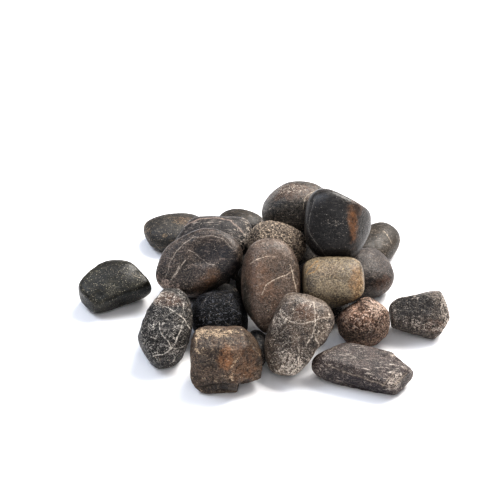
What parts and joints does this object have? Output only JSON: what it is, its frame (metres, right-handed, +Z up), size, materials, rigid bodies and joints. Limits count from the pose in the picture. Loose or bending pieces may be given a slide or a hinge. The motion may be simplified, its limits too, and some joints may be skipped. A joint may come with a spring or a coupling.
{
  "type": "heap of basalt massage stones",
  "caption": "Loose heap of tumbled dark basalt massage stones, ovals, slabs and rounded blocks, each one a separate stone, and 18 of them lift off.",
  "frame": {"origin": "on the table, under the middle of the heap's footprint", "axes": "+X to the right along the heap's longer side, +Y away from the viewer, +Z up"},
  "size_m": [0.3242, 0.262, 0.1041],
  "materials": {
    "black_basalt": "satin, tumbled smooth",
    "charcoal_basalt": "satin, lightly scuffed",
    "veined_basalt": "matt, with fine pale veins and scuffs",
    "brown_basalt": "satin, with rust-brown stains",
    "olive_basalt": "satin, weathered olive-brown",
    "pitted_basalt": "rough, open-pored",
    "purple_grey_basalt": "matt, with pale worn edges"
  },
  "bodies": {
    "buried_stones": {"core_left_stone": "charcoal_basalt", "core_middle_stone": "black_basalt", "core_right_stone": "charcoal_basalt", "core_rear_stone": "charcoal_basalt", "dark_middle_stone": "black_basalt", "core_front_stone": "black_basalt", "core_wedge_stone": "black_basalt", "core_back_stone": "black_basalt", "core_far_stone": "charcoal_basalt", "core_under_stone": "black_basalt"},
    "left_outlier": {"left_outlier_stone": "black_basalt"},
    "rear_left": {"rear_left_stone": "charcoal_basalt"},
    "rear_small": {"rear_small_stone": "brown_basalt"},
    "rear_right": {"rear_right_stone": "brown_basalt"},
    "right_flat": {"right_flat_stone": "charcoal_basalt"},
    "right_outlier": {"right_outlier_stone": "veined_basalt"},
    "knobbly": {"knobbly_stone": "pitted_basalt"},
    "veined_left": {"veined_left_stone": "veined_basalt"},
    "broken_front": {"broken_front_stone": "brown_basalt"},
    "tall_veined": {"tall_veined_stone": "brown_basalt"},
    "square_olive": {"square_olive_stone": "olive_basalt"},
    "mottled_front": {"mottled_front_stone": "veined_basalt"},
    "long_front": {"long_front_stone": "purple_grey_basalt"},
    "rear_slab": {"rear_slab_stone": "purple_grey_basalt"},
    "large_oval": {"large_oval_stone": "charcoal_basalt"},
    "pitted": {"pitted_stone": "pitted_basalt"},
    "rear_top": {"rear_top_stone": "charcoal_basalt"},
    "crown": {"crown_stone": "black_basalt"}
  },
  "joints": [
    {"name": "left_outlier_lift", "type": "slide", "parent": "buried_stones", "child": "left_outlier", "axis": [-0.7399, -0.1983, 0.6428], "range_m": [0, 0.1]},
    {"name": "rear_left_lift", "type": "slide", "parent": "buried_stones", "child": "rear_left", "axis": [-0.8754, 0.2346, 0.4226], "range_m": [0, 0.09]},
    {"name": "rear_small_lift", "type": "slide", "parent": "buried_stones", "child": "rear_small", "axis": [0.212, 0.7912, 0.5736], "range_m": [0, 0.09]},
    {"name": "rear_right_lift", "type": "slide", "parent": "buried_stones", "child": "rear_right", "axis": [0.6409, 0.6409, 0.4226], "range_m": [0, 0.09]},
    {"name": "right_flat_lift", "type": "slide", "parent": "buried_stones", "child": "right_flat", "axis": [0.9397, 0, 0.342], "range_m": [0, 0.11]},
    {"name": "right_outlier_lift", "type": "slide", "parent": "buried_stones", "child": "right_outlier", "axis": [0.6634, -0.383, 0.6428], "range_m": [0, 0.09]},
    {"name": "knobbly_lift", "type": "slide", "parent": "buried_stones", "child": "knobbly", "axis": [0.133, -0.7544, 0.6428], "range_m": [0, 0.028]},
    {"name": "veined_left_lift", "type": "slide", "parent": "buried_stones", "child": "veined_left", "axis": [-0.7094, -0.4096, 0.5736], "range_m": [0, 0.09]},
    {"name": "broken_front_lift", "type": "slide", "parent": "buried_stones", "child": "broken_front", "axis": [-0.2241, -0.8365, 0.5], "range_m": [0, 0.1]},
    {"name": "tall_veined_lift", "type": "slide", "parent": "buried_stones", "child": "tall_veined", "axis": [0, 0.342, 0.9397], "range_m": [0, 0.055]},
    {"name": "square_olive_lift", "type": "slide", "parent": "buried_stones", "child": "square_olive", "axis": [0.3214, -0.5567, 0.766], "range_m": [0, 0.1]},
    {"name": "mottled_front_lift", "type": "slide", "parent": "buried_stones", "child": "mottled_front", "axis": [0, -0.6428, 0.766], "range_m": [0, 0.09]},
    {"name": "long_front_lift", "type": "slide", "parent": "buried_stones", "child": "long_front", "axis": [0.4698, -0.8138, 0.342], "range_m": [0, 0.1]},
    {"name": "rear_slab_lift", "type": "slide", "parent": "buried_stones", "child": "rear_slab", "axis": [-0.433, 0.75, 0.5], "range_m": [0, 0.09]},
    {"name": "large_oval_lift", "type": "slide", "parent": "buried_stones", "child": "large_oval", "axis": [-0.6209, 0.1664, 0.766], "range_m": [0, 0.1]},
    {"name": "pitted_lift", "type": "slide", "parent": "buried_stones", "child": "pitted", "axis": [-0.3304, 0.0885, 0.9397], "range_m": [0, 0.12]},
    {"name": "rear_top_lift", "type": "slide", "parent": "buried_stones", "child": "rear_top", "axis": [0, 0.7071, 0.7071], "range_m": [0, 0.09]},
    {"name": "crown_lift", "type": "slide", "parent": "buried_stones", "child": "crown", "axis": [0.2418, 0.2418, 0.9397], "range_m": [0, 0.11]}
  ]
}
